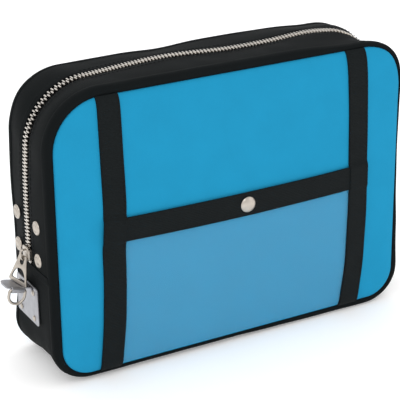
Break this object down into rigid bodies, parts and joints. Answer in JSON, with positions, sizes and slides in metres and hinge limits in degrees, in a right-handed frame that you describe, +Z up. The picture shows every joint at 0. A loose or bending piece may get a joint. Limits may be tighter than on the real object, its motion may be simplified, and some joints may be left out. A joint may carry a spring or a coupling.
{
  "type": "cash deposit bag",
  "caption": "Padded zipped cash bag with a lock plate and ring at the zip's end, webbing straps and a clear slip pocket closed by a snap.",
  "frame": {"origin": "centre of the bag's flat bottom, on the surface it stands on", "axes": "+Z up, -Y out of the front face with the pocket, +X to the right seen from the front, so the lock is on the -X side"},
  "size_m": [0.371, 0.1057, 0.2565],
  "materials": {
    "blue_fabric": "matte close weave",
    "black_fabric": "matte close weave",
    "webbing": "ribbed tape",
    "foam": "closed-cell foam sheet",
    "lining": "plain weave",
    "clear_vinyl": "clear glossy sheet",
    "zip_tape": "woven tape",
    "zip_metal": "polished",
    "nickel": "nickel plate",
    "plate_steel": "satin"
  },
  "bodies": {
    "bag": {"rear_panel": "blue_fabric", "rear_foam": "foam", "rear_lining": "lining", "rear_border": "black_fabric", "lower_gusset": "black_fabric", "rear_zip_strip": "black_fabric", "rear_zip_tape": "zip_tape", "rear_zip_teeth": "zip_metal", "front_panel_lower": "blue_fabric", "front_foam_lower": "foam", "front_lining_lower": "lining", "front_border_lower": "black_fabric", "strap_left_lower": "webbing", "strap_right_lower": "webbing", "front_zip_strip_left_lower": "black_fabric", "front_zip_strip_right_lower": "black_fabric", "front_zip_tape_left_lower": "zip_tape", "front_zip_tape_right_lower": "zip_tape", "front_zip_teeth_left_lower": "zip_metal", "front_zip_teeth_right_lower": "zip_metal", "zip_stop_left_front": "zip_metal", "zip_stop_left_rear": "zip_metal", "zip_stop_right": "zip_metal", "lock_plate": "plate_steel", "lock_backing_plate": "plate_steel", "lock_rivet_1": "nickel", "lock_rivet_2": "nickel", "lock_rivet_3": "nickel", "lock_rivet_4": "nickel", "zip_rivet_1": "nickel", "zip_rivet_2": "nickel", "zip_rivet_3": "nickel", "zip_rivet_4": "nickel", "snap_stud": "nickel"},
    "front_flap": {"front_panel_upper": "blue_fabric", "front_foam_upper": "foam", "front_lining_upper": "lining", "front_border_upper": "black_fabric", "strap_left_upper": "webbing", "strap_right_upper": "webbing", "front_zip_strip_upper": "black_fabric", "front_zip_tape_upper": "zip_tape", "front_zip_teeth_upper": "zip_metal"},
    "pocket": {"pocket_window": "clear_vinyl", "pocket_band": "webbing", "snap_cap": "nickel", "snap_socket": "nickel"},
    "slider": {"slider_body": "nickel", "slider_bridge": "nickel"},
    "pull_tab": {"pull_tab": "nickel"},
    "lock_ring": {"lock_ring": "nickel"}
  },
  "joints": [
    {"name": "mouth_fold", "type": "hinge", "parent": "bag", "child": "front_flap", "pos_m": [0, -0.0524, 0.148], "axis": [1, 0, 0], "range_deg": [0, 25]},
    {"name": "pocket_mouth", "type": "hinge", "parent": "bag", "child": "pocket", "pos_m": [0, -0.05, 0.01], "axis": [1, 0, 0], "range_deg": [0, 5]},
    {"name": "slider_travel", "type": "slide", "parent": "bag", "child": "slider", "axis": [0, 0, 1], "range_m": [0, 0.085]},
    {"name": "tab_swing", "type": "hinge", "parent": "slider", "child": "pull_tab", "pos_m": [-0.1777, 0, 0.1056], "axis": [0, 1, 0], "range_deg": [0, 110]},
    {"name": "ring_swing", "type": "hinge", "parent": "bag", "child": "lock_ring", "pos_m": [-0.18762, -0.0082, 0.08097], "axis": [-0.9781, 0, 0.2079], "range_deg": [-70, 90]}
  ]
}
